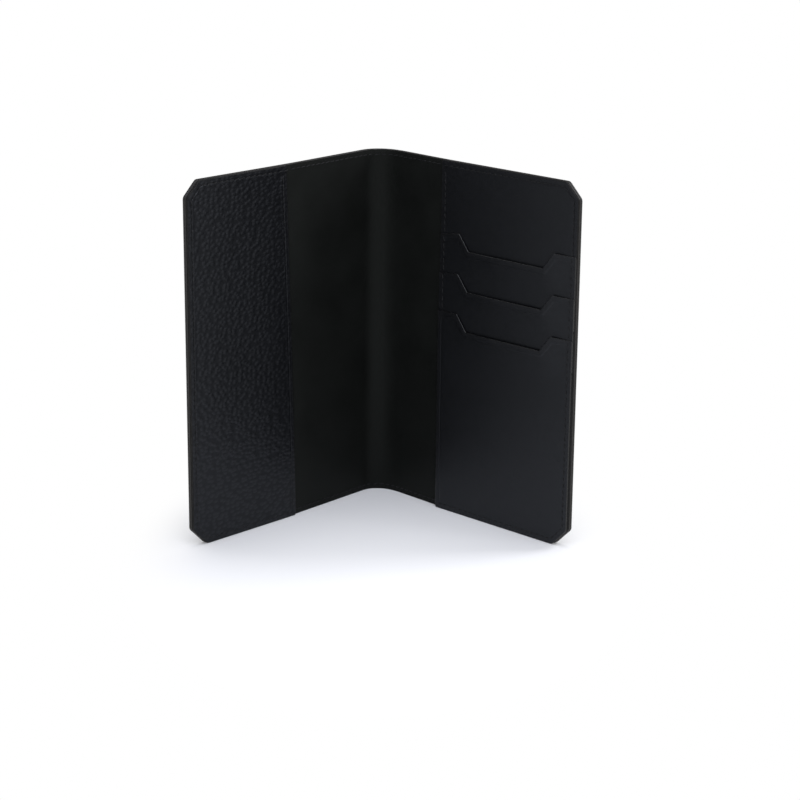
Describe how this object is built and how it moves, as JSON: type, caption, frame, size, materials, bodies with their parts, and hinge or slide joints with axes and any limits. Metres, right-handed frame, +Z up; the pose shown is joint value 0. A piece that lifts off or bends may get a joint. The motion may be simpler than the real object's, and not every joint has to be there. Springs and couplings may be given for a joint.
{
  "type": "passport holder",
  "caption": "Bifold leather passport holder standing open on a rounded spine, with a passport pocket in each cover and stepped card slots with thumb notches.",
  "frame": {"origin": "on the floor under the middle of the box around the open holder, in the middle plane between its covers", "axes": "+Z up along the spine, +X to the right for a person looking into the open holder, -Y out of its open side"},
  "size_m": [0.138, 0.07, 0.135],
  "materials": {
    "outer_leather": "black grained leather with a soft sheen",
    "flap_leather": "black grained leather with a soft sheen",
    "pocket_leather": "black smooth calf leather, satin",
    "lining": "black smooth lining, matte",
    "board": "bare stiffening board",
    "tape": "woven reinforcing tape",
    "tail_cloth": "thin woven lining cloth",
    "thread": "waxed black thread"
  },
  "bodies": {
    "spine": {"spine_leather": "outer_leather", "spine_lining": "lining", "spine_thread": "thread"},
    "front_cover": {"front_leather": "outer_leather", "front_stiffener": "board", "front_lining": "lining", "front_flap_tape": "tape", "front_pocket_flap": "flap_leather", "front_flap_thread": "thread", "front_seam_thread": "thread"},
    "back_cover": {"back_leather": "outer_leather", "back_stiffener": "board", "back_lining": "lining", "back_panel_tape": "tape", "back_pocket_panel": "pocket_leather", "slot_filler": "pocket_leather", "upper_slot_strip": "pocket_leather", "upper_slot_tail": "tail_cloth", "middle_slot_strip": "pocket_leather", "middle_slot_tail": "tail_cloth", "lower_slot_strip": "pocket_leather", "card_pocket_thread": "thread", "back_seam_thread": "thread"}
  },
  "joints": [
    {"name": "back_cover_fold", "type": "hinge", "parent": "spine", "child": "back_cover", "pos_m": [0.00388, 0.03233, 0], "axis": [0, 0, -1], "range_deg": [-46, 45]},
    {"name": "front_cover_fold", "type": "hinge", "parent": "spine", "child": "front_cover", "pos_m": [-0.00388, 0.03233, 0], "axis": [0, 0, 1], "range_deg": [-46, 45]}
  ],
  "couplings": [
    {"joint": "front_cover_fold", "follows": "back_cover_fold", "ratio": 1}
  ]
}
